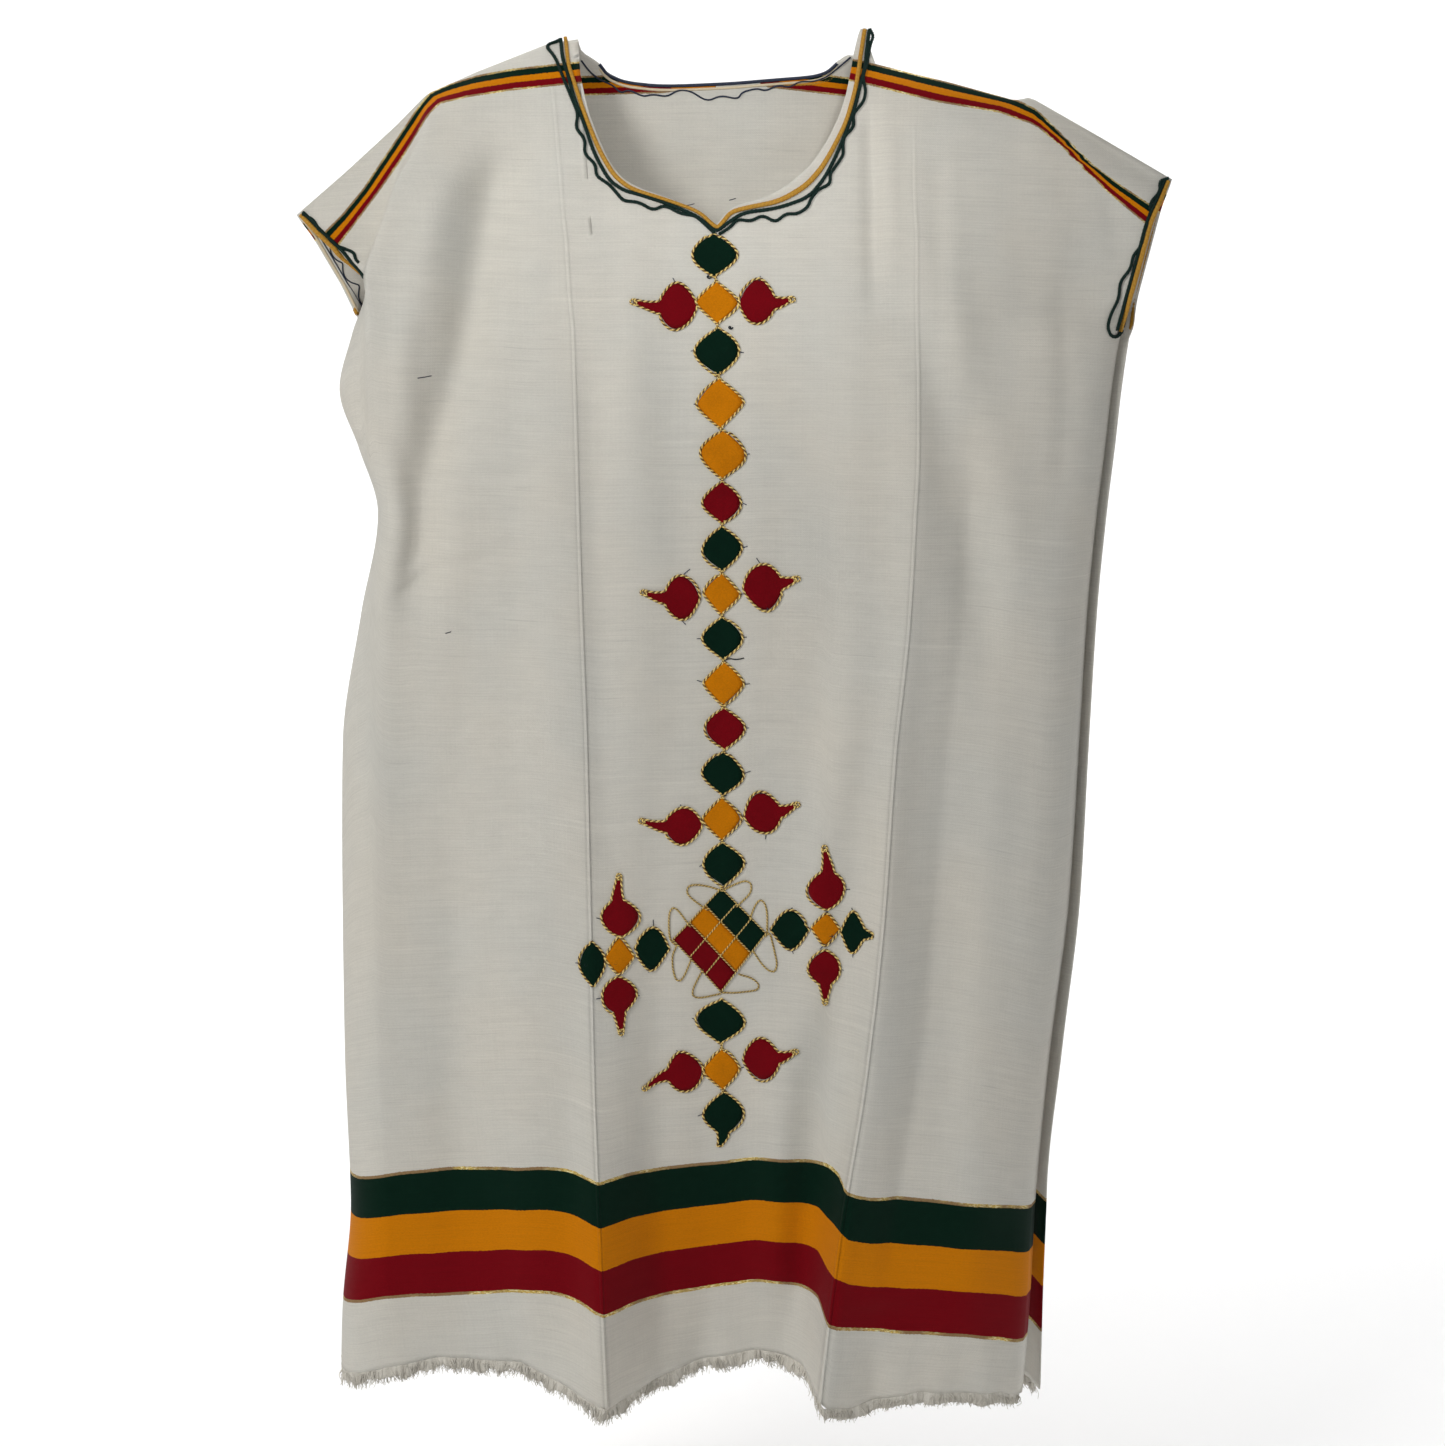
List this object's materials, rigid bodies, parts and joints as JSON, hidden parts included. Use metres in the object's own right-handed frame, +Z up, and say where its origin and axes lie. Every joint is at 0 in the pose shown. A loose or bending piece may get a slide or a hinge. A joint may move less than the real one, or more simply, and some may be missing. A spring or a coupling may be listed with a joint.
{
  "type": "handwoven cotton dress",
  "caption": "Straight handwoven cotton dress with cap sleeves, scooped neck, striped hem band and a column of appliqued diamonds down the front.",
  "frame": {"origin": "middle of the neck opening at the height of the shoulder seams, in the plane of the side seams, where the hanging dress is held up", "axes": "+X to the viewer's right facing the front, +Y away from the viewer towards the back, +Z up"},
  "size_m": [0.674, 0.1941, 1.1061],
  "materials": {
    "handwoven_cotton": "open plain weave with uneven hand-spun yarns, matt",
    "green_cotton": "close woven, very dark green, matt",
    "yellow_cotton": "close woven, golden yellow, matt",
    "red_cotton": "close woven, dark red, matt",
    "gold_braid": "braid wrapped with gold metal thread, a little shiny"
  },
  "bodies": {
    "root": {"arm_left_inner": "green_cotton", "arm_left_lower": "red_cotton", "arm_left_middle": "yellow_cotton", "arm_left_outer": "green_cotton", "arm_left_upper": "red_cotton", "arm_right_inner": "green_cotton", "arm_right_lower": "red_cotton", "arm_right_middle": "yellow_cotton", "arm_right_outer": "green_cotton", "arm_right_upper": "red_cotton", "back_fringe": "handwoven_cotton", "back_panel": "handwoven_cotton", "big_gold": "yellow_cotton", "big_green": "green_cotton", "big_red": "red_cotton", "cuff_braid_back_left": "gold_braid", "cuff_braid_back_right": "gold_braid", "cuff_braid_front_left": "gold_braid", "cuff_braid_front_right": "gold_braid", "cuff_cord_back_left": "green_cotton", "cuff_cord_back_right": "green_cotton", "cuff_cord_front_left": "green_cotton", "cuff_cord_front_right": "green_cotton", "diamond_01": "green_cotton", "diamond_02": "yellow_cotton", "diamond_03": "green_cotton", "diamond_04": "yellow_cotton", "diamond_05": "yellow_cotton", "diamond_06": "red_cotton", "diamond_07": "green_cotton", "diamond_08": "yellow_cotton", "diamond_09": "green_cotton", "diamond_10": "yellow_cotton", "diamond_11": "red_cotton", "diamond_12": "green_cotton", "diamond_13": "yellow_cotton", "diamond_14": "green_cotton", "diamond_15": "green_cotton", "diamond_16": "yellow_cotton", "diamond_17": "green_cotton", "drop_01_left": "red_cotton", "drop_01_right": "red_cotton", "drop_02_left": "red_cotton", "drop_02_right": "red_cotton", "drop_03_left": "red_cotton", "drop_03_right": "red_cotton", "drop_04_left": "red_cotton", "drop_04_right": "red_cotton", "front_fringe": "handwoven_cotton", "front_panel": "handwoven_cotton", "neck_braid_back": "gold_braid", "neck_braid_front": "gold_braid", "neck_cord_back": "green_cotton", "neck_cord_front": "green_cotton"}
  },
  "joints": []
}
